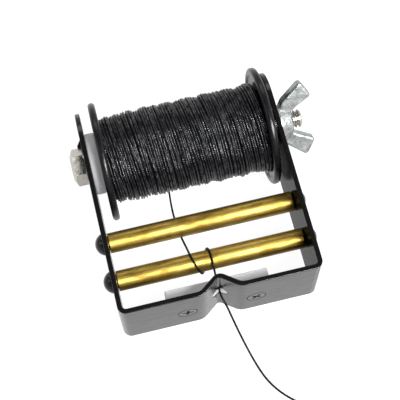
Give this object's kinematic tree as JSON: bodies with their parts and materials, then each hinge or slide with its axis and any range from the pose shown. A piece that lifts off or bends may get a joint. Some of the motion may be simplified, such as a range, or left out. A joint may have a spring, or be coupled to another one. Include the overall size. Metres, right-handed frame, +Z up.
{
  "type": "bow-string serving jig with thread spool",
  "caption": "Bow-string serving jig: black steel strip frame with a thread spool on a wing-nut bolt, brass rollers, a white guide block and a V-notch.",
  "frame": {"origin": "centre of the footprint on the surface the jig lies on, leaving out the free thread", "axes": "+X along the spool bolt towards the wing nut, +Y from the notched bar towards the spool, +Z up"},
  "size_m": [0.0838, 0.1193, 0.0407],
  "materials": {
    "black_paint": "gloss black enamel, lightly worn",
    "black_rivet": "gloss black, burnished crown",
    "black_screw": "black oxide",
    "zinc_steel": "zinc plated",
    "zinc_casting": "matt cast",
    "white_nylon": "satin translucent white",
    "black_plastic": "gloss moulded",
    "dark_thread": "braided, slightly waxy",
    "brass": "drawn tube, lightly tarnished"
  },
  "bodies": {
    "base": {"frame": "black_paint", "guide_block": "white_nylon", "guide_screw_left": "black_screw", "guide_screw_right": "black_screw", "hex_bolt": "zinc_steel", "nylon_washer": "white_nylon", "spool_washer": "zinc_steel", "roller_pin_upper": "black_rivet", "roller_pin_lower": "black_rivet", "line_run": "dark_thread"},
    "spool": {"spool_flange_left": "black_plastic", "spool_flange_right": "black_plastic", "spool_core": "black_plastic", "line_winding": "dark_thread"},
    "roller_a": {"roller_upper": "brass"},
    "roller_b": {"roller_lower": "brass"},
    "nut_washer_body": {"nut_washer": "zinc_steel"},
    "wing_nut_body": {"wing_nut": "zinc_casting"}
  },
  "joints": [
    {"name": "spool_spin", "type": "hinge", "parent": "base", "child": "spool", "pos_m": [-0.00413, 0.01936, 0.02035], "axis": [1, 0, 0], "continuous": true},
    {"name": "upper_roller_spin", "type": "hinge", "parent": "base", "child": "roller_a", "pos_m": [-0.00413, -0.00963, 0.01685], "axis": [1, 0, 0], "continuous": true},
    {"name": "lower_roller_spin", "type": "hinge", "parent": "base", "child": "roller_b", "pos_m": [-0.00413, -0.02293, 0.01524], "axis": [1, 0, 0], "continuous": true},
    {"name": "nut_travel", "type": "slide", "parent": "base", "child": "nut_washer_body", "axis": [1, 0, 0], "range_m": [0, 0.0064]},
    {"name": "nut_turn", "type": "hinge", "parent": "nut_washer_body", "child": "wing_nut_body", "pos_m": [0.02987, 0.01936, 0.02035], "axis": [1, 0, 0], "range_deg": [0, 1800]}
  ],
  "couplings": [
    {"joint": "nut_travel", "follows": "nut_turn", "m_per_rad": 0.00020213}
  ]
}
